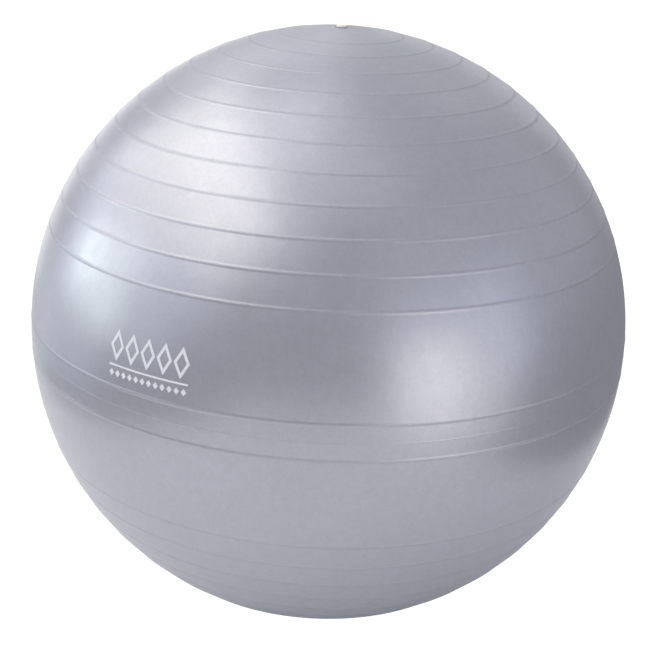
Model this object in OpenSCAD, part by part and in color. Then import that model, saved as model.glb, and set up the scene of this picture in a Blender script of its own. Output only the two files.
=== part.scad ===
// Anti-burst exercise ball: one rotationally moulded skin with raised grip ribs, a valve
// seat bonded into its top pole, the plug that pulls out of the seat, and a printed mark.
// Frame: origin at the middle of the floor contact patch, +Z up along the valve axis,
// -Y towards the printed mark. Millimetres and degrees.

/* [Ball] */
// Diameter of the inflated skin, between its ribs
ball_d = 650; // [550:10:750]
// Wall thickness of the inflated skin
wall_t = 1; // [0.8:0.1:2]
// Radius of the patch that the ball's weight flattens against the floor
contact_r = 30; // [15:1:35]

/* [Ribs] */
// Height of a grip rib above the skin
rib_h = 0.35; // [0.3:0.05:1.5]
// Width of a grip rib at the skin
rib_w = 4.4; // [2.4:0.1:5]
// Latitude of the two ribs that border the parting line
pair_lat = 3.2; // [2:0.1:3.8]
// Latitude of the first close-set rib, beyond the clear band
first_lat = 21.3; // [18:0.1:24]
// Step in latitude from one close-set rib to the next
rib_step = 5.72; // [4.5:0.01:5.8]
// Number of close-set ribs above the equator, and again below it
rib_count = 11; // [4:1:11]
// Height of the mould's parting line at the equator
parting_h = 0.15; // [0.1:0.05:0.4]
// Width of the mould's parting line
parting_w = 0.8; // [0.5:0.1:1.5]

/* [Valve seat] */
// Diameter of the low boss that the skin forms around the valve
boss_d = 36; // [28:1:44]
// Height of the boss above the ball's round shape
boss_h = 0.8; // [0.4:0.1:1.6]
// Diameter of the opening in the skin that the seat fills
seat_d = 14.4; // [14:0.1:18]
// Diameter of the flange that is bonded to the inside of the skin
flange_d = 36; // [28:1:50]
// Thickness of the flange
flange_t = 1.6; // [1:0.1:3]
// Diameter of the cup that the plug's head lies in
cup_d = 12.8; // [12.4:0.1:13.4]
// Depth of the cup below the top of the boss
cup_depth = 1.6; // [1.4:0.1:2.4]
// Diameter of the bore that the plug's stem seals
bore_d = 8; // [7:0.1:8.4]
// Outside diameter of the sleeve around the bore
sleeve_d = 12.4; // [11:0.1:13]
// Depth of the sleeve's inner end below the pole of the ball's round shape
sleeve_depth = 21; // [20:1:30]

/* [Valve plug] */
// Diameter of the plug's head
head_d = 10.8; // [10:0.1:11.6]
// Thickness of the head at its rim
head_t = 3.1; // [1.4:0.1:3.4]
// Rise of the head's crown above its rim
crown_h = 0.8; // [0.2:0.1:1]
// Length of the stem below the head
stem_l = 17; // [12:1:17]
// Diameter of the stem's core under the head
stem_top_d = 6.8; // [6:0.1:6.9]
// Diameter of the stem's core at its tip
stem_tip_d = 5.4; // [4:0.1:6]
// Number of sealing rings on the stem
ring_count = 3; // [2:1:4]
// Radius of a sealing ring's rounded edge
ring_edge_r = 0.6; // [0.4:0.1:0.8]
// Radial gap between the sealing rings and the bore
seal_gap = 0.05; // [0.02:0.01:0.1]

/* [Printed mark] */
// Latitude of the mark's middle
mark_lat = 9; // [8.5:0.1:12]
// Width of the mark
mark_w = 92; // [60:1:100]
// Height of the row of large lozenges
lozenge_h = 30; // [20:1:32]
// Width of the lozenges' outline
stroke_w = 2.8; // [1.2:0.1:3]
// Number of large lozenges
lozenge_count = 5; // [3:1:5]
// Number of small lozenges
small_count = 12; // [6:1:14]
// Thickness of the ink film
ink_t = 0.15; // [0.1:0.01:0.3]

/* [Hidden] */

ball_r = ball_d / 2;
// Height of the ball's centre above the floor, so that the patch comes out at its radius
centre_z = sqrt(pow(ball_r, 2) - pow(contact_r, 2));
pole_z = centre_z + ball_r;
boss_top_z = pole_z + boss_h;
cup_floor_z = boss_top_z - cup_depth;
// Radius of the boss's cap, which meets the ball's round shape at the boss's edge
boss_rise = boss_h + ball_r - sqrt(pow(ball_r, 2) - pow(boss_d / 2, 2));
boss_r = (pow(boss_d / 2, 2) + pow(boss_rise, 2)) / (2 * boss_rise);
// Latitudes of the close-set ribs above the equator
upper_lats = [for (i = [0 : rib_count - 1]) first_lat + i * rib_step];
rib_lats = concat([pair_lat, -pair_lat], upper_lats, [for (lat = upper_lats) -lat]);
// More than any profile reaches from the axis
reach = ball_r + 10;
// Gap between neighbouring figures of the mark
mark_gap = 1.8;
rule_h = 1.8;
small_h = 7;
mark_row_gap = 3.2;
fine = 256;
medium = 96;
coarse = 48;

// Radius of the circle that stands h proud of a surface and is w wide where it leaves it
function bead_r(w, h) = (h + pow(w, 2) / (4 * h)) / 2;

// Section of a raised bead on the skin, at a latitude
module bead(lat, w, h) {
    r = bead_r(w, h);
    from_centre = ball_r + h - r;
    translate([from_centre * cos(lat), centre_z + from_centre * sin(lat)])
        circle(r = r, $fn = coarse);
}

// Half section of a ball of radius r about the ball's centre, cut flat at floor_z
module ball_section(r, floor_z) {
    intersection() {
        translate([0, centre_z]) circle(r = r, $fn = fine);
        translate([0, floor_z]) square([reach, 2 * reach]);
    }
}

// Half section of the cap that stands proud of the ball as the valve's boss
module boss_section() {
    intersection() {
        translate([0, boss_top_z - boss_r]) circle(r = boss_r, $fn = fine);
        translate([0, centre_z]) square([reach, reach]);
    }
}

// Everything inside the skin's outer face, boss and ribs included, above the floor
module outer_section() {
    ball_section(ball_r, 0);
    boss_section();
    intersection() {
        union() {
            for (lat = rib_lats) bead(lat, rib_w, rib_h);
            bead(0, parting_w, parting_h);
        }
        square([reach, 2 * reach]);
    }
}

// The rotationally moulded skin, open only at the valve
module ball_skin() {
    color([0.66, 0.66, 0.71])
        rotate_extrude($fn = fine)
            difference() {
                outer_section();
                ball_section(ball_r - wall_t, wall_t);
                translate([0, centre_z]) square([seat_d / 2, reach]);
            }
}

// Half section of the seat: flange, collar and sleeve, less the cup and the bore
module seat_section() {
    difference() {
        union() {
            intersection() {
                difference() {
                    ball_section(ball_r - wall_t, wall_t);
                    ball_section(ball_r - wall_t - flange_t, wall_t);
                }
                translate([0, centre_z]) square([flange_d / 2, reach]);
            }
            intersection() {
                union() {
                    ball_section(ball_r, 0);
                    boss_section();
                }
                translate([0, cup_floor_z - flange_t]) square([seat_d / 2, reach]);
            }
            translate([0, pole_z - sleeve_depth])
                square([sleeve_d / 2, cup_floor_z - pole_z + sleeve_depth]);
        }
        translate([0, cup_floor_z]) square([cup_d / 2, reach]);
        translate([0, centre_z]) square([bore_d / 2, reach]);
    }
}

// The separately moulded seat that is bonded into the skin and holds the plug
module valve_seat() {
    color([0.62, 0.62, 0.67])
        rotate_extrude($fn = medium) seat_section();
}

// The plug's head: a short cylinder under a shallow crown
module plug_head() {
    head_r = head_d / 2;
    crown_r = (pow(head_r, 2) + pow(crown_h, 2)) / (2 * crown_h);
    intersection() {
        cylinder(r = head_r, h = head_t + crown_h, $fn = medium);
        translate([0, 0, head_t + crown_h - crown_r]) sphere(r = crown_r, $fn = fine);
    }
}

// A disc with a rounded edge, out to radius r, with its middle at the origin
module sealing_ring(r) {
    core_r = r - ring_edge_r;
    translate([0, 0, -ring_edge_r]) cylinder(r = core_r, h = 2 * ring_edge_r, $fn = medium);
    rotate_extrude($fn = medium)
        translate([core_r, 0]) circle(r = ring_edge_r, $fn = coarse);
}

// The tapered stem with its sealing rings, hanging below the origin
module plug_stem() {
    ring_pitch = stem_l / (ring_count + 1);
    translate([0, 0, -stem_l])
        cylinder(d1 = stem_tip_d, d2 = stem_top_d, h = stem_l, $fn = medium);
    for (i = [1 : ring_count])
        translate([0, 0, -i * ring_pitch]) sealing_ring(bore_d / 2 - seal_gap);
}

// The stopper: its head lies in the cup and its stem seals the bore
module valve_plug() {
    color([0.93, 0.93, 0.93])
        translate([0, 0, cup_floor_z]) {
            plug_head();
            plug_stem();
        }
}

// A solid lozenge about the origin
module lozenge(w, h) {
    polygon([[w / 2, 0], [0, h / 2], [-w / 2, 0], [0, -h / 2]]);
}

// The outline of a lozenge, stroke wide all round
module lozenge_outline(w, h, stroke) {
    side = sqrt(pow(w, 2) + pow(h, 2));
    difference() {
        lozenge(w, h);
        lozenge(w - 2 * stroke * side / h, h - 2 * stroke * side / w);
    }
}

// The artwork: large lozenges over a rule, and small ones under it
module mark_artwork() {
    pitch = (mark_w + mark_gap) / lozenge_count;
    small_pitch = mark_w / small_count;
    total_h = lozenge_h + rule_h + small_h + 2 * mark_row_gap;
    top_row_z = (total_h - lozenge_h) / 2;
    rule_z = total_h / 2 - lozenge_h - mark_row_gap - rule_h;
    for (i = [0 : lozenge_count - 1])
        translate([(i - (lozenge_count - 1) / 2) * pitch, top_row_z])
            lozenge_outline(pitch - mark_gap, lozenge_h, stroke_w);
    translate([-mark_w / 2, rule_z]) square([mark_w, rule_h]);
    for (i = [0 : small_count - 1])
        translate([(i - (small_count - 1) / 2) * small_pitch, (small_h - total_h) / 2])
            lozenge(small_pitch - mark_gap, small_h);
}

// The ink film, lying on the skin in the clear band
module print_mark() {
    color([0.95, 0.95, 0.97])
        intersection() {
            translate([0, 0, centre_z])
                difference() {
                    sphere(r = ball_r + ink_t, $fn = fine);
                    sphere(r = ball_r, $fn = fine);
                }
            translate([0, 0, centre_z + ball_r * sin(mark_lat)])
                rotate([90, 0, 0])
                    linear_extrude(height = reach) mark_artwork();
        }
}

ball_skin();
valve_seat();
valve_plug();
print_mark();
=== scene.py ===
import math

import bmesh
import bpy
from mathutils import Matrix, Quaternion, Vector, noise


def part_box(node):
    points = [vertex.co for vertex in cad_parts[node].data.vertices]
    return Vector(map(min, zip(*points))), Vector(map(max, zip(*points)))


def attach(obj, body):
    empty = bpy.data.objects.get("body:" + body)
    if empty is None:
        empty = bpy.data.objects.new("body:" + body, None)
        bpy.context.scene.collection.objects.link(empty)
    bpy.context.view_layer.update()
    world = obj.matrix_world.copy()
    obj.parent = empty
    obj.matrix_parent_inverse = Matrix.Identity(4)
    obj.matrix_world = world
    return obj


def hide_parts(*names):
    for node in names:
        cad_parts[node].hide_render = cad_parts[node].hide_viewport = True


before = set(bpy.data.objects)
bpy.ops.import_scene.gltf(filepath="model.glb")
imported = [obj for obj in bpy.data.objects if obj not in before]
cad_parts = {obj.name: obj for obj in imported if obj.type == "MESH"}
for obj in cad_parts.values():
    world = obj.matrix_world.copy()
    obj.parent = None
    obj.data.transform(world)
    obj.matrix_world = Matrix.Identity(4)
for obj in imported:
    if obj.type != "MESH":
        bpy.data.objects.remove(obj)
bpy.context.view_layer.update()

# ---------------------------------------------------------------- sizes, in metres and degrees

MM = 0.001
BALL_R = 325 * MM  # skin between its ribs
CONTACT_R = 30 * MM  # flat patch on the floor
WALL_T = 1 * MM
RIB_H = 0.35 * MM
RIB_W = 4.8 * MM  # out to the ends of the fillets
PARTING_H = 0.1 * MM
PARTING_W = 0.9 * MM
PAIR_LAT = 3.2
FIRST_LAT = 21.3
RIB_STEP = 5.72
RIB_COUNT = 11
BOSS_H = 0.8 * MM  # the skin's low boss around the valve
BOSS_W = 40 * MM
SEAT_R = 7.2 * MM  # opening in the skin
CUP_R = 6.4 * MM
BORE_R = 4 * MM
HEAD_T = 3.1 * MM
CROWN_H = 0.8 * MM
STEM_TOP_R = 3.4 * MM  # under the plug's head
STEM_TIP_R = 2.7 * MM
RING_COUNT = 3  # sealing rings on the stem
RING_EDGE_R = 0.6 * MM
SEAL_GAP = 0.05 * MM  # from the rings to the bore
SLEEVE_R = 6.2 * MM
FLANGE_T = 1.6 * MM

skin_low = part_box("ball_skin")[0]
seat_low, seat_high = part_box("valve_seat")
plug_low, plug_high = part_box("valve_plug")
mark_low, mark_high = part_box("print_mark")

CENTRE = Vector((0, 0, skin_low.z + math.sqrt(BALL_R**2 - CONTACT_R**2)))
POLE_Z = CENTRE.z + BALL_R
PER_DEGREE = math.radians(1) * BALL_R  # metres of skin to a degree of latitude
FLANGE_R = seat_high.x
HEAD_R = plug_high.x
CROWN_Z = plug_high.z
CUP_FLOOR_Z = CROWN_Z - CROWN_H - HEAD_T
STEM_TIP_Z = plug_low.z

# ---------------------------------------------------------------- the shape of the skin


def rib_latitudes():
    """Latitude of every grip rib, in degrees."""
    upper = [FIRST_LAT + i * RIB_STEP for i in range(RIB_COUNT)]
    return [PAIR_LAT, -PAIR_LAT] + upper + [-lat for lat in upper]


def bump(distance, width, height):
    """A smooth bead's height at a distance from its middle line."""
    if abs(distance) >= width / 2:
        return 0.0
    return height * math.cos(math.pi * distance / width) ** 2


def rib_relief(latitude):
    """Height of the ribs above the skin, at a latitude in degrees."""
    return sum(bump((latitude - rib) * PER_DEGREE, RIB_W, RIB_H) for rib in rib_latitudes())


def relief(latitude):
    """Height of the ribs, the parting line and the valve's boss above the ball's round shape."""
    parting = bump(latitude * PER_DEGREE, PARTING_W, PARTING_H)
    boss = bump((90 - latitude) * PER_DEGREE, BOSS_W, BOSS_H)
    return rib_relief(latitude) + parting + boss


LUMP_H = 0.5 * MM
LUMP_SCALE = 1.6  # noise cells per radius of the ball
LUMP_FREE_ANGLE = 0.1  # radians from either pole that are left round
LUMP_FADE_ANGLE = 0.25  # radians beyond that over which the lumps fade in


def lumps(direction):
    """How far the inflated skin stands off a true sphere, in one direction from its centre."""
    from_pole = math.acos(min(1.0, abs(direction.z)))
    fade = min(1.0, max(0.0, (from_pole - LUMP_FREE_ANGLE) / LUMP_FADE_ANGLE))
    return LUMP_H * fade * noise.noise(direction * LUMP_SCALE)


def direction_at(latitude, longitude):
    """Unit vector at a latitude and longitude in degrees; longitude 0 faces -Y."""
    lat, lon = math.radians(latitude), math.radians(longitude)
    return Vector((math.cos(lat) * math.sin(lon), -math.cos(lat) * math.cos(lon), math.sin(lat)))


# Where the mesh has rings over a feature, in half widths of it from its middle.
# Those past 1 lie on the round skin beside it and keep its shading from spreading.
ACROSS_RIB = (-1.25, -1, -0.78, -0.55, -0.28, 0, 0.28, 0.55, 0.78, 1, 1.25)
ACROSS_PARTING = (-1.6, -1, -0.5, 0, 0.5, 1, 1.6)
ACROSS_BOSS = (1.2, 1, 0.8, 0.65, 0.5)
MOST_APART = 1.6  # degrees of latitude between rings anywhere else


def outer_latitudes():
    """Latitudes of the skin's rings from the floor patch to the valve: close on the ribs, open between."""
    lowest = -math.degrees(math.acos(CONTACT_R / BALL_R))
    highest = math.degrees(math.acos(SEAT_R / BALL_R))
    half_rib = math.degrees(RIB_W / 2 / BALL_R)
    half_parting = math.degrees(PARTING_W / 2 / BALL_R)
    half_boss = math.degrees(BOSS_W / 2 / BALL_R)
    found = [lowest, highest]
    for rib in rib_latitudes():
        found += [rib + half_rib * step for step in ACROSS_RIB]
    found += [half_parting * step for step in ACROSS_PARTING]
    found += [90 - half_boss * step for step in ACROSS_BOSS]
    found.sort()
    rings = []
    for low, high in zip(found, found[1:]):
        steps = max(1, math.ceil((high - low) / MOST_APART))
        rings += [low + (high - low) * i / steps for i in range(steps)]
    return rings + [highest]


# ---------------------------------------------------------------- mesh building


def make_object(name, vertices, faces, sharp_angle=50):
    """A smooth-shaded mesh object whose edges above an angle stay sharp."""
    mesh = bpy.data.meshes.new(name)
    mesh.from_pydata(vertices, [], faces)
    mesh.validate()
    shape = bmesh.new()
    shape.from_mesh(mesh)
    bmesh.ops.recalc_face_normals(shape, faces=shape.faces)
    shape.to_mesh(mesh)
    shape.free()
    mesh.shade_smooth()
    mesh.set_sharp_from_angle(angle=math.radians(sharp_angle))
    made = bpy.data.objects.new(name, mesh)
    bpy.context.collection.objects.link(made)
    return made


def loft(name, rings, closed=False, sharp_angle=50):
    """Joins rings of points with quads. A ring of one point is a pole; closed joins the last to the first."""
    vertices, starts = [], []
    for ring in rings:
        starts.append(len(vertices))
        vertices += ring
    faces = []
    pairs = [(i, i + 1) for i in range(len(rings) - 1)]
    if closed:
        pairs.append((len(rings) - 1, 0))
    for a, b in pairs:
        count = max(len(rings[a]), len(rings[b]))
        for i in range(count):
            j = (i + 1) % count
            corners = []
            if len(rings[a]) > 1:
                corners += [starts[a] + i, starts[a] + j]
            else:
                corners += [starts[a]]
            if len(rings[b]) > 1:
                corners += [starts[b] + j, starts[b] + i]
            else:
                corners += [starts[b]]
            faces.append(corners)
    return make_object(name, vertices, faces, sharp_angle)


def turned_ring(radius, z, segments):
    """One ring of a turned shape about the valve axis, or its pole when the radius is nothing."""
    if radius < 1e-6:
        return [Vector((0, 0, z))]
    turn = 2 * math.pi / segments
    return [Vector((radius * math.sin(i * turn), -radius * math.cos(i * turn), z)) for i in range(segments)]


def rounded(corners, steps=4):
    """A profile's points, with each corner (radius, z, rounding) eased over its rounding."""
    points = []
    for i, (r, z, ease) in enumerate(corners):
        here = Vector((r, z))
        if not ease:
            points.append(here)
            continue
        before = Vector(corners[i - 1][:2])
        after = Vector(corners[(i + 1) % len(corners)][:2])
        start = here + (before - here).normalized() * ease
        end = here + (after - here).normalized() * ease
        for k in range(steps + 1):
            t = k / steps
            points.append(start * (1 - t) ** 2 + here * 2 * t * (1 - t) + end * t**2)
    return points


def turned(name, profile, segments, closed=False):
    """A solid turned about the valve axis from a profile of (radius, z) points."""
    return loft(name, [turned_ring(r, z, segments) for r, z in profile], closed, sharp_angle=40)


# ---------------------------------------------------------------- the pieces

SKIN_SEGMENTS = 240
SEAT_SEGMENTS = 96
PLUG_SEGMENTS = 72
INNER_RINGS = 50  # over the skin's inner face
FOOT_RADII = (0, 10 * MM, 20 * MM, 28 * MM)  # rings on the flat patch, inside its edge
INNER_FOOT_RADII = (24 * MM, 12 * MM, 0)  # and on its inner face


def skin_ring(radius, latitude):
    """One ring of the skin, at a radius from the ball's centre that its lumps add to."""
    turn = 360 / SKIN_SEGMENTS
    directions = [direction_at(latitude, i * turn) for i in range(SKIN_SEGMENTS)]
    return [CENTRE + direction * (radius + lumps(direction)) for direction in directions]


def make_skin():
    """The moulded shell: ribbed outside, smooth inside, open at the valve and flat where it rests."""
    outer = [skin_ring(BALL_R + relief(latitude), latitude) for latitude in outer_latitudes()]
    inner_r = BALL_R - WALL_T
    lowest = -math.degrees(math.asin((CENTRE.z - skin_low.z - WALL_T) / inner_r))
    highest = math.degrees(math.acos(SEAT_R / inner_r))
    step = (lowest - highest) / INNER_RINGS
    inner = [skin_ring(inner_r, highest + k * step) for k in range(INNER_RINGS + 1)]
    foot = [turned_ring(r, skin_low.z, SKIN_SEGMENTS) for r in FOOT_RADII]
    inner_foot = [turned_ring(r, skin_low.z + WALL_T, SKIN_SEGMENTS) for r in INNER_FOOT_RADII]
    made = loft("ball_skin_shell", foot + outer + inner + inner_foot)
    ribbed = made.data.attributes.new("rib", "FLOAT", "POINT")
    for vertex, share in zip(made.data.vertices, ribbed.data):
        latitude = math.degrees(math.asin(max(-1, min(1, (vertex.co - CENTRE).normalized().z))))
        share.value = rib_relief(latitude) / RIB_H
    return made


def drop(radius):
    """How far the ball's round shape has fallen away from its pole, at a radius from the valve axis."""
    return BALL_R - math.sqrt(BALL_R**2 - radius**2)


def make_seat():
    """The valve seat: a flange under the skin, a collar in its opening, the plug's cup, and the sleeve."""
    under_z = POLE_Z - WALL_T
    neck_z = under_z - FLANGE_T
    highest = math.degrees(math.acos(SEAT_R / BALL_R))
    collar_z = CENTRE.z + (BALL_R + relief(highest)) * math.sin(math.radians(highest))
    corners = [
        # radius, z, rounding
        (BORE_R, CUP_FLOOR_Z, 0.35 * MM),
        (BORE_R, seat_low.z, 0.3 * MM),
        (SLEEVE_R, seat_low.z, 0.6 * MM),
        (SLEEVE_R, neck_z, 0.9 * MM),
        (FLANGE_R, neck_z - drop(FLANGE_R), 0.4 * MM),
        (FLANGE_R, under_z - drop(FLANGE_R), 0.4 * MM),
        (SEAT_R, under_z - drop(SEAT_R), 0),
        (SEAT_R, collar_z, 0.15 * MM),
        (CUP_R, collar_z, 0.25 * MM),
        (CUP_R, CUP_FLOOR_Z, 0.4 * MM),
    ]
    return turned("valve_seat_moulding", rounded(corners), SEAT_SEGMENTS, closed=True)


def make_plug():
    """The stopper: a dimpled, crowned head that tapers in under its rim, and a stem with sealing rings."""
    rim_z = CUP_FLOOR_Z + HEAD_T
    ring_r = BORE_R - SEAL_GAP
    ring_flat = 0.45 * RING_EDGE_R  # half the height of a ring's outer face
    stem_length = CUP_FLOOR_Z - STEM_TIP_Z
    ring_pitch = stem_length / (RING_COUNT + 1)

    def stem_r(z):
        return STEM_TOP_R + (STEM_TIP_R - STEM_TOP_R) * (CUP_FLOOR_Z - z) / stem_length

    corners = [
        # radius, z, rounding
        (0, CROWN_Z - 0.25 * MM, 0),
        (1.1 * MM, CROWN_Z - 0.22 * MM, 0.2 * MM),
        (1.5 * MM, CROWN_Z - 0.02 * MM, 0.2 * MM),
        (3.4 * MM, CROWN_Z - 0.18 * MM, 0.6 * MM),
        (HEAD_R, rim_z, 0.45 * MM),
        (HEAD_R, rim_z - 0.9 * MM, 0.25 * MM),
        (HEAD_R - 0.9 * MM, CUP_FLOOR_Z, 0.25 * MM),
        (STEM_TOP_R, CUP_FLOOR_Z, 0.3 * MM),
    ]
    for i in range(1, RING_COUNT + 1):
        ring_z = CUP_FLOOR_Z - i * ring_pitch
        above, below = ring_z + RING_EDGE_R, ring_z - RING_EDGE_R
        corners += [
            (stem_r(above), above, 0.15 * MM),
            (ring_r, ring_z + ring_flat, 0.25 * MM),
            (ring_r, ring_z - ring_flat, 0.25 * MM),
            (stem_r(below), below, 0.15 * MM),
        ]
    corners += [(STEM_TIP_R, STEM_TIP_Z, 0.7 * MM), (0, STEM_TIP_Z, 0)]
    return turned("valve_plug_stopper", rounded(corners), PLUG_SEGMENTS)


# ---------------------------------------------------------------- the printed mark

MARK_W = mark_high.x - mark_low.x
MARK_H = mark_high.z - mark_low.z
MARK_BOTTOM = mark_low.z - CENTRE.z
LOZENGE_H = 30 * MM
RULE_H = 1.8 * MM
SMALL_H = 7 * MM
FIGURE_GAP = 1.8 * MM
STROKE = 2.8 * MM
LOZENGE_COUNT = 5
SMALL_COUNT = 12
INK_T = 0.13 * MM
INK_LIFT = 0.02 * MM  # keeps the film's underside clear of the skin's facets


def on_skin(x, z, lift):
    """The point on the front of the skin at a width and height from the ball's centre."""
    direction = Vector((x, -math.sqrt(BALL_R**2 - x**2 - z**2), z)).normalized()
    return CENTRE + direction * (BALL_R + lumps(direction) + lift)


def film(rows, closed):
    """Vertices and faces of an ink film over a grid of flat (x, z) points: its top, bottom and edges."""
    count, across = len(rows), len(rows[0])
    top = [on_skin(x, z, INK_LIFT + INK_T) for row in rows for x, z in row]
    bottom = [on_skin(x, z, INK_LIFT) for row in rows for x, z in row]
    under = len(top)
    faces = []
    for i in range(count if closed else count - 1):
        a, b = i * across, ((i + 1) % count) * across
        for j in range(across - 1):
            faces.append((a + j, a + j + 1, b + j + 1, b + j))
            faces.append((under + b + j, under + b + j + 1, under + a + j + 1, under + a + j))
        last = across - 1
        faces.append((a, b, under + b, under + a))
        faces.append((b + last, a + last, under + a + last, under + b + last))
    if not closed:
        end = (count - 1) * across
        for j in range(across - 1):
            faces.append((j + 1, j, under + j, under + j + 1))
            faces.append((end + j, end + j + 1, under + end + j + 1, under + end + j))
    return top + bottom, faces


def lozenge_outline(x, z, width, height):
    """Rows of a film's points round a lozenge's outline, a stroke wide."""
    side = math.hypot(width, height)
    inner_w = width - 2 * STROKE * side / height
    inner_h = height - 2 * STROKE * side / width
    steps = 10
    rows = []
    corners = [(0.5, 0), (0, 0.5), (-0.5, 0), (0, -0.5)]
    for k in range(4):
        ax, az = corners[k]
        bx, bz = corners[(k + 1) % 4]
        for i in range(steps):
            t = i / steps
            u, v = ax + (bx - ax) * t, az + (bz - az) * t
            rows.append([
                (x + u * (width + (inner_w - width) * s), z + v * (height + (inner_h - height) * s))
                for s in (0, 0.5, 1)
            ])
    return rows


def small_lozenge(x, z, width, height):
    """Rows of a film's points over a solid lozenge."""
    steps = 4
    across = width / 2 / steps
    up = height / 2 / steps
    return [
        [(x + across * (i - j), z + up * (i + j - steps)) for j in range(steps + 1)]
        for i in range(steps + 1)
    ]


def make_mark():
    """The printed mark: outlined lozenges, a rule, and small lozenges, as one film."""
    pitch = (MARK_W + FIGURE_GAP) / LOZENGE_COUNT
    small_pitch = MARK_W / SMALL_COUNT
    row_gap = (MARK_H - LOZENGE_H - RULE_H - SMALL_H) / 2
    small_z = MARK_BOTTOM + SMALL_H / 2
    rule_z = MARK_BOTTOM + SMALL_H + row_gap
    large_z = MARK_BOTTOM + MARK_H - LOZENGE_H / 2
    patches = []
    for i in range(LOZENGE_COUNT):
        x = (i - (LOZENGE_COUNT - 1) / 2) * pitch
        patches.append((lozenge_outline(x, large_z, pitch - FIGURE_GAP, LOZENGE_H), True))
    rule_steps = 48
    rule = [
        [(MARK_W * (k / rule_steps - 0.5), rule_z + RULE_H * s) for s in (1, 0.5, 0)]
        for k in range(rule_steps + 1)
    ]
    patches.append((rule, False))
    for i in range(SMALL_COUNT):
        x = (i - (SMALL_COUNT - 1) / 2) * small_pitch
        patches.append((small_lozenge(x, small_z, small_pitch - FIGURE_GAP, SMALL_H), False))
    vertices, faces = [], []
    for rows, closed in patches:
        more, quads = film(rows, closed)
        faces += [[corner + len(vertices) for corner in quad] for quad in quads]
        vertices += more
    return make_object("print_mark_film", vertices, faces, sharp_angle=30)


# ---------------------------------------------------------------- materials

WHITE = (1, 1, 1, 1)


class Graph:
    """The node tree of a material or a world, with short ways to add and join nodes."""

    def __init__(self, owner):
        owner.use_nodes = True
        self.tree = owner.node_tree

    def add(self, kind, inputs=None, **settings):
        """A new node with its settings, and its inputs given as values or as sockets to link from."""
        made = self.tree.nodes.new("ShaderNode" + kind)
        for name, value in settings.items():
            setattr(made, name, value)
        for key, value in (inputs or {}).items():
            self.feed(made, key, value)
        return made

    def feed(self, made, key, value):
        """Links a socket to an input, or sets the input's value."""
        if isinstance(value, bpy.types.NodeSocket):
            self.tree.links.new(value, made.inputs[key])
        else:
            made.inputs[key].default_value = value


class Surface(Graph):
    """A material, built up from noise over the piece. Its tone, relief and roughness are sockets."""

    def __init__(self, name):
        self.material = bpy.data.materials.new(name)
        super().__init__(self.material)
        self.shader = self.tree.nodes["Principled BSDF"]
        self.place = self.add("TexCoord").outputs["Object"]
        self.tone = None
        self.relief = None
        self.roughness = None

    def noise(self, scale, detail=2.0, roughness=0.5):
        """Smooth noise over the piece, in cycles per metre."""
        inputs = {"Vector": self.place, "Scale": scale, "Detail": detail, "Roughness": roughness}
        return self.add("TexNoise", inputs).outputs["Fac"]

    def remap(self, value, low, high, to_low, to_high):
        """A value taken from one range to another, held at the ends."""
        inputs = {"Value": value, "From Min": low, "From Max": high, "To Min": to_low, "To Max": to_high}
        return self.add("MapRange", inputs).outputs["Result"]

    def maths(self, operation, a, b=0.0):
        """One step of arithmetic."""
        return self.add("Math", {0: a, 1: b}, operation=operation).outputs[0]

    def dot(self, a, b):
        """The dot product of two vectors."""
        return self.add("VectorMath", {0: a, 1: b}, operation="DOT_PRODUCT").outputs["Value"]

    def mix(self, factor, a, b):
        """A colour between two colours."""
        inputs = {"Factor": factor, 6: a, 7: b}
        return self.add("Mix", inputs, data_type="RGBA").outputs[2]

    def scale_tone(self, factor):
        """Multiplies the tone by a factor."""
        inputs = {0: self.tone, "Scale": factor}
        self.tone = self.add("VectorMath", inputs, operation="SCALE").outputs["Vector"]

    def shade(self, **values):
        """Sets or links the shader's inputs, with underscores for their spaces."""
        for key, value in values.items():
            self.feed(self.shader, key.replace("_", " "), value)

    def finish(self, strength, depth):
        """Gives the shader the tone, the roughness and the relief, and returns the material."""
        grain = self.add("Bump", {"Strength": strength, "Distance": depth, "Height": self.relief})
        self.shade(Base_Color=self.tone, Roughness=self.roughness, Normal=grain.outputs["Normal"])
        return self.material


PEARL_GRAIN = (0.25, 0.1 * MM)  # strength and depth of the PVC's fine relief
PLAIN_GRAIN = (0.2, 0.05 * MM)  # and of the plug's and the ink's
GLOSS_SPREAD = 0.03  # how far the pearl's roughness strays either way
FLAKES = 700  # per metre
FLAKE_GLINT = 0.04  # share by which a flake's tone strays either way
CLOUD_DEPTH = 0.03  # and the clouding's


def pearl(name, tone_a, tone_b, roughness, metallic):
    """Satin pearl PVC: fine flakes, faint clouding and a soft sheen."""
    s = Surface(name)
    mottle = s.remap(s.noise(5, 3), 0.35, 0.65, 0, 1)
    s.tone = s.mix(mottle, (*tone_a, 1), (*tone_b, 1))
    flake = s.add("TexVoronoi", {"Vector": s.place, "Scale": FLAKES}).outputs["Color"]
    glint = s.remap(flake, 0, 1, 1 - FLAKE_GLINT, 1 + FLAKE_GLINT)
    clouding = s.remap(s.noise(130, 3, 0.65), 0.3, 0.7, 1 - CLOUD_DEPTH, 1 + CLOUD_DEPTH)
    s.scale_tone(s.maths("MULTIPLY", glint, clouding))
    s.relief = s.noise(800, 3, 0.6)
    gloss = s.noise(60, 4, 0.6)
    s.roughness = s.remap(gloss, 0.3, 0.7, roughness - GLOSS_SPREAD, roughness + GLOSS_SPREAD)
    s.shade(Metallic=metallic)
    return s


def seat_material():
    """The valve seat's pearl PVC, a shade darker than the ball's."""
    s = pearl("seat_pearl_pvc", (0.36, 0.36, 0.42), (0.38, 0.38, 0.44), 0.4, 0.5)
    return s.finish(*PEARL_GRAIN)


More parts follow.
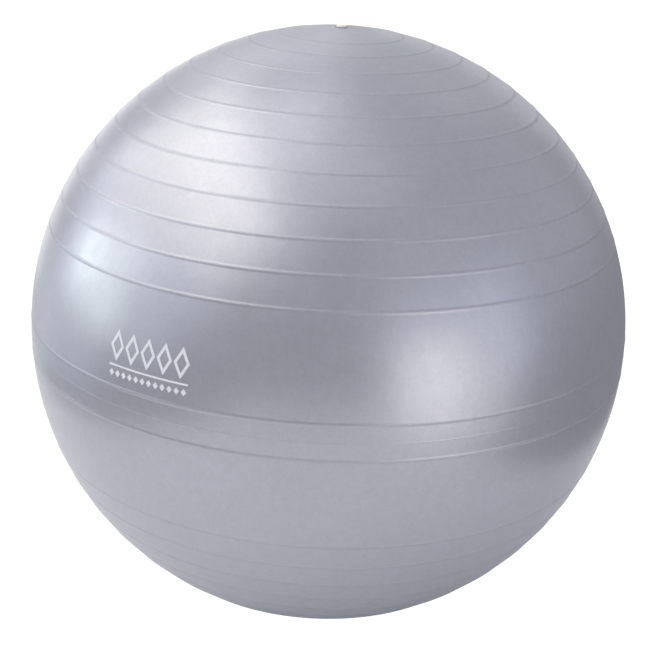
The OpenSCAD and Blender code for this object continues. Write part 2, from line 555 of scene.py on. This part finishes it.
RIB_PAINTED_SHADE = 0.06  # share by which the ribs' tone is darkened, as painted shade along each rib
RIB_ROUGHER = 0.13  # added to the roughness on the ribs
# share by which a fold line's tone is darkened: painted shade in its crease
FOLD_PAINTED_SHADE = 0.06
FOLD_DENT = 0.5  # its depth, as a share of the fine relief's
FOLD_W = 2 * MM
FOLD_FADE = 8  # degrees over which a fold line fades out at its ends
FOLDS = [
    # (latitude, longitude) of its great circle's pole and of its middle, and half its length in degrees
    ((17, 156), (28, 56), 26),
    ((25, 38), (0, 128), 34),
]
SPECK_SHADE = 0.2
SPECK_R = 1.5 * MM
# (latitude, longitude) of each speck of dust
SPECKS = [(75.4, 66.5), (-12, 150), (33, 205), (57, 280), (15, 248)]


def fold_mask(s, outward, pole, middle, half_length):
    """A faint line where the deflated ball was folded: a stretch of a great circle, worn away in places. It
    dents the relief, and the darkening along it is painted shade.
    """
    off_line = s.maths("MULTIPLY", s.maths("ABSOLUTE", s.dot(outward, direction_at(*pole))), BALL_R)
    line = s.remap(off_line, 0, FOLD_W / 2, 1, 0)
    end = math.cos(math.radians(half_length))
    fade = math.cos(math.radians(half_length - FOLD_FADE))
    stretch = s.remap(s.dot(outward, direction_at(*middle)), end, fade, 0, 1)
    worn = s.remap(s.noise(11, 2), 0.36, 0.56, 0, 1)
    return s.maths("MULTIPLY", s.maths("MULTIPLY", line, stretch), worn)


def speck_mask(s, latitude, longitude):
    """One speck of dust on the skin."""
    spot = CENTRE + direction_at(latitude, longitude) * BALL_R
    away = s.add("VectorMath", {0: s.place, 1: spot}, operation="DISTANCE").outputs["Value"]
    return s.remap(away, SPECK_R / 2, SPECK_R, 1, 0)


def skin_material():
    """The ball's pearl PVC: rougher on its ribs and darkened there by painted shade, with fold lines darkened
    by painted shade, and a few specks of dust.
    """
    s = pearl("skin_pearl_pvc", (0.44, 0.44, 0.51), (0.455, 0.46, 0.53), 0.32, 0.6)
    from_centre = s.add("VectorMath", {0: s.place, 1: CENTRE}, operation="SUBTRACT").outputs["Vector"]
    outward = s.add("VectorMath", {0: from_centre}, operation="NORMALIZE").outputs["Vector"]
    ribs = s.add("Attribute", attribute_name="rib").outputs["Fac"]
    # painted shade along the ribs
    s.scale_tone(s.remap(ribs, 0, 1, 1, 1 - RIB_PAINTED_SHADE))
    s.roughness = s.maths("ADD", s.roughness, s.maths("MULTIPLY", ribs, RIB_ROUGHER))
    for pole, middle, half_length in FOLDS:
        fold = fold_mask(s, outward, pole, middle, half_length)
        # painted shade along the fold's crease; the dent below is real relief
        s.scale_tone(s.remap(fold, 0, 1, 1, 1 - FOLD_PAINTED_SHADE))
        s.relief = s.maths("SUBTRACT", s.relief, s.maths("MULTIPLY", fold, FOLD_DENT))
    for speck in SPECKS:
        s.scale_tone(s.remap(speck_mask(s, *speck), 0, 1, 1, 1 - SPECK_SHADE))
    return s.finish(*PEARL_GRAIN)


def plug_material():
    """White polyethylene: uneven in tone and gloss, and finely textured."""
    s = Surface("plug_white_plastic")
    mottle = s.remap(s.noise(150, 3), 0.3, 0.7, 0, 1)
    s.tone = s.mix(mottle, (0.80, 0.80, 0.79, 1), (0.87, 0.87, 0.87, 1))
    s.roughness = s.remap(s.noise(900, 2), 0.3, 0.7, 0.36, 0.48)
    s.relief = s.noise(2500, 2)
    return s.finish(*PLAIN_GRAIN)


def ink_material():
    """White screen-print ink: slightly uneven cover, with the silver showing faintly through."""
    s = Surface("print_white_ink")
    cover = s.remap(s.noise(900, 4, 0.7), 0.35, 0.6, 0.75, 1)
    s.tone = s.mix(cover, (0.55, 0.55, 0.62, 1), (0.78, 0.79, 0.87, 1))
    s.roughness = s.remap(s.noise(400, 2), 0.3, 0.7, 0.42, 0.55)
    s.relief = s.noise(1500, 3)
    return s.finish(*PLAIN_GRAIN)


# ---------------------------------------------------------------- putting the pieces in the frame


def place(piece, material, body, node):
    """Gives a piece its material, hangs it under the empty of the body it rides on, and hides the imported
    node that it stands for.
    """
    piece.data.materials.append(material)
    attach(piece, body)
    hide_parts(node)


place(make_skin(), skin_material(), "ball", "ball_skin")
place(make_seat(), seat_material(), "ball", "valve_seat")
place(make_plug(), plug_material(), "plug", "valve_plug")
place(make_mark(), ink_material(), "ball", "print_mark")

# ---------------------------------------------------------------- floor, background and lights

CAMERA_AZIMUTH = 31.1
CAMERA_ELEVATION = 19.83

FLOOR_HALF_WIDTH = 0.675  # a roll of paper 1.35 m wide
FLOOR_SHIFT = -0.08  # of its middle, to the right of the ball's
FLOOR_FRONT = 1.45
FLOOR_BACK = 1.5
FLOOR_GAP = 0.2 * MM  # below the ball's flat patch, so that the two faces don't coincide
FLOOR_SQUARES = 12  # along each side of its mesh
FLOOR_COLOUR = (0.85, 0.85, 0.85, 1)
FLOOR_PAINTED_GLOW = 0.085  # strength of the paper's painted glow, which stands in for light thrown on it, clear of its painted shadow
PAINTED_SHADOW_R = 0.4  # from the contact patch out to where the painted shadow in the paper's glow has faded
CAMERA_WHITE = 1.1  # what the camera sees of the floor and the background
ROOM_COLOUR = (1, 0.98, 1.06, 1)
ROOM_HORIZON = (-0.2, 0.05)  # sines of the elevations where the room's low and high levels are reached
ROOM_BELOW = 0.28
ROOM_ABOVE = 0.39


def direction_from(azimuth, elevation):
    """Unit vector away from the ball; azimuth is from the camera's, both in degrees."""
    return direction_at(elevation, azimuth + CAMERA_AZIMUTH)


def make_floor():
    """A sheet of white paper on the floor. It lights the ball from below with a painted glow that holds a
    painted shadow round the contact patch, and reads as plain white.
    """
    right = direction_from(90, 0)
    front = direction_from(0, 0)
    middle = right * FLOOR_SHIFT + Vector((0, 0, skin_low.z - FLOOR_GAP))
    width = FLOOR_SQUARES + 1
    points = []
    for k in range(width):
        along = front * (FLOOR_FRONT - (FLOOR_FRONT + FLOOR_BACK) * k / FLOOR_SQUARES)
        for j in range(width):
            across = right * FLOOR_HALF_WIDTH * (2 * j / FLOOR_SQUARES - 1)
            points.append(middle + along + across)
    corners = [k * width + j for k in range(FLOOR_SQUARES) for j in range(FLOOR_SQUARES)]
    faces = [(corner, corner + 1, corner + width + 1, corner + width) for corner in corners]
    made = make_object("studio_floor", points, faces)
    s = Surface("studio_floor")
    made.data.materials.append(s.material)
    s.shade(Base_Color=FLOOR_COLOUR, Roughness=0.9, Specular_IOR_Level=0.1)
    # The paper's glow is painted light, with a painted shadow: nothing at the contact patch, full strength
    # from the shadow's edge outward.
    from_contact = s.add("VectorMath", {0: s.place}, operation="LENGTH").outputs["Value"]
    painted_glow = s.remap(from_contact, 0, PAINTED_SHADOW_R, 0, FLOOR_PAINTED_GLOW)
    s.shade(Emission_Color=WHITE, Emission_Strength=painted_glow)
    white = s.add("Emission", {"Color": WHITE, "Strength": CAMERA_WHITE}).outputs[0]
    seen = s.add("LightPath").outputs["Is Camera Ray"]
    paint = s.add("MixShader", {0: seen, 1: s.shader.outputs[0], 2: white}).outputs[0]
    s.feed(s.tree.nodes["Material Output"], "Surface", paint)


def make_world():
    """White to the camera. To the ball, an even dim room, darker below the horizon."""
    world = bpy.data.worlds.new("studio")
    bpy.context.scene.world = world
    g = Graph(world)
    direction = g.add("TexCoord").outputs["Generated"]
    up = g.add("SeparateXYZ", {0: direction}).outputs["Z"]
    low, high = ROOM_HORIZON
    inputs = {"Value": up, "From Min": low, "From Max": high, "To Min": ROOM_BELOW, "To Max": ROOM_ABOVE}
    level = g.add("MapRange", inputs).outputs["Result"]
    room = g.tree.nodes["Background"]
    g.feed(room, "Color", ROOM_COLOUR)
    g.feed(room, "Strength", level)
    white = g.add("Background", {"Color": WHITE, "Strength": CAMERA_WHITE}).outputs[0]
    seen = g.add("LightPath").outputs["Is Camera Ray"]
    mixed = g.add("MixShader", {0: seen, 1: room.outputs[0], 2: white}).outputs[0]
    g.feed(g.tree.nodes["World Output"], "Surface", mixed)


LIGHT_DISTANCE = 5.0


def softbox(name, azimuth, elevation, width, height, radiance, colour):
    """A rectangular studio light that faces the ball; width and height are degrees as seen from it."""
    data = bpy.data.lights.new(name, "AREA")
    data.shape = "RECTANGLE"
    data.size = 2 * LIGHT_DISTANCE * math.tan(math.radians(width / 2))
    data.size_y = 2 * LIGHT_DISTANCE * math.tan(math.radians(height / 2))
    data.energy = radiance * math.pi * data.size * data.size_y
    data.color = colour
    lamp = bpy.data.objects.new(name, data)
    bpy.context.collection.objects.link(lamp)
    away = direction_from(azimuth, elevation)
    lamp.location = CENTRE + away * LIGHT_DISTANCE
    lamp.rotation_mode = "QUATERNION"
    lamp.rotation_quaternion = away.to_track_quat("Z", "Y")
    lamp.visible_camera = False


NEUTRAL = (1, 1, 1)
WARM = (1, 0.98, 0.86)
COOL = (0.9, 1.02, 1.12)
MINT = (0.95, 1.07, 0.96)

LIGHTS = [
    # name, azimuth, elevation, width, height, radiance, colour
    ("key", -86, 48, 78, 36, 1.5, WARM),
    ("key_core", -82, 53, 50, 24, 0.75, WARM),
    ("key_left", -155, 52, 26, 50, 0.4, NEUTRAL),
    ("key_right", -24, 46, 24, 36, 0.25, COOL),
    ("top", -90, 76, 30, 20, 0.7, NEUTRAL),
    ("top_wide", -60, 80, 60, 40, 0.3, NEUTRAL),
    ("top_right", 90, 78, 60, 40, 0.15, NEUTRAL),
    ("left_shoulder", -102, 23, 54, 14, 1, NEUTRAL),
    ("left_middle", -60, 21, 30, 18, 0.55, COOL),
    ("left_side", -133, 20, 26, 30, 0.2, COOL),
    ("left_low", -110, -14, 40, 14, 0.5, COOL),
    ("left_low_back", -140, -12, 30, 20, 0.4, NEUTRAL),
    ("window", -97, 4, 34, 20, 0.9, MINT),
    ("window_core", -104, 10, 12, 14, 2.2, MINT),
    ("window_tall", -88, 10, 16, 28, 0.9, MINT),
    ("window_left", -114, 6, 20, 22, 0.6, COOL),
    ("window_side", -66, 3, 22, 18, 0.5, COOL),
    ("right", 38, -4, 24, 30, 1.3, WARM),
    ("right_wide", 44, -4, 48, 44, 0.55, NEUTRAL),
    ("right_far", 58, -10, 22, 24, 0.3, WARM),
    ("right_shoulder", 45, 21, 40, 16, 0.35, COOL),
    ("right_side", 70, 12, 20, 34, 0.45, COOL),
    ("right_top", 44, 40, 40, 20, 0.2, MINT),
    ("back_left", -165, 22, 28, 56, 0.35, NEUTRAL),
    ("back_left_low", -158, -4, 30, 20, 0.8, NEUTRAL),
    ("back_right", 162, 36, 40, 44, 0.25, MINT),
    ("back_right_low", 162, 6, 30, 26, 0.35, NEUTRAL),
    ("right_wall", 106, 30, 50, 50, 0.15, MINT),
    ("table_front", -5, -14, 50, 12, 0.5, NEUTRAL),
]

make_floor()
make_world()
for light in LIGHTS:
    softbox(*light)

# ---------------------------------------------------------------- camera

VIEW_DISTANCE = 4.844 * BALL_R
FOCAL_LENGTH = 77.4
SENSOR = 36
CAMERA_ROLL = 2.52
SHIFT_X = -0.00168  # shares of the frame's width
SHIFT_Y = -0.00916


def make_camera():
    """The camera, aimed at the ball's centre, with the small shift that frames the ball."""
    data = bpy.data.cameras.new("camera")
    data.sensor_width = SENSOR
    data.lens = FOCAL_LENGTH
    data.shift_x = SHIFT_X
    data.shift_y = SHIFT_Y
    data.clip_end = 100
    made = bpy.data.objects.new("camera", data)
    bpy.context.collection.objects.link(made)
    away = direction_from(0, CAMERA_ELEVATION)
    made.location = CENTRE + away * VIEW_DISTANCE
    made.rotation_mode = "QUATERNION"
    roll = Quaternion((0, 0, 1), math.radians(CAMERA_ROLL))
    made.rotation_quaternion = away.to_track_quat("Z", "Y") @ roll
    bpy.context.scene.camera = made


make_camera()
bpy.context.scene.view_settings.view_transform = "Standard"
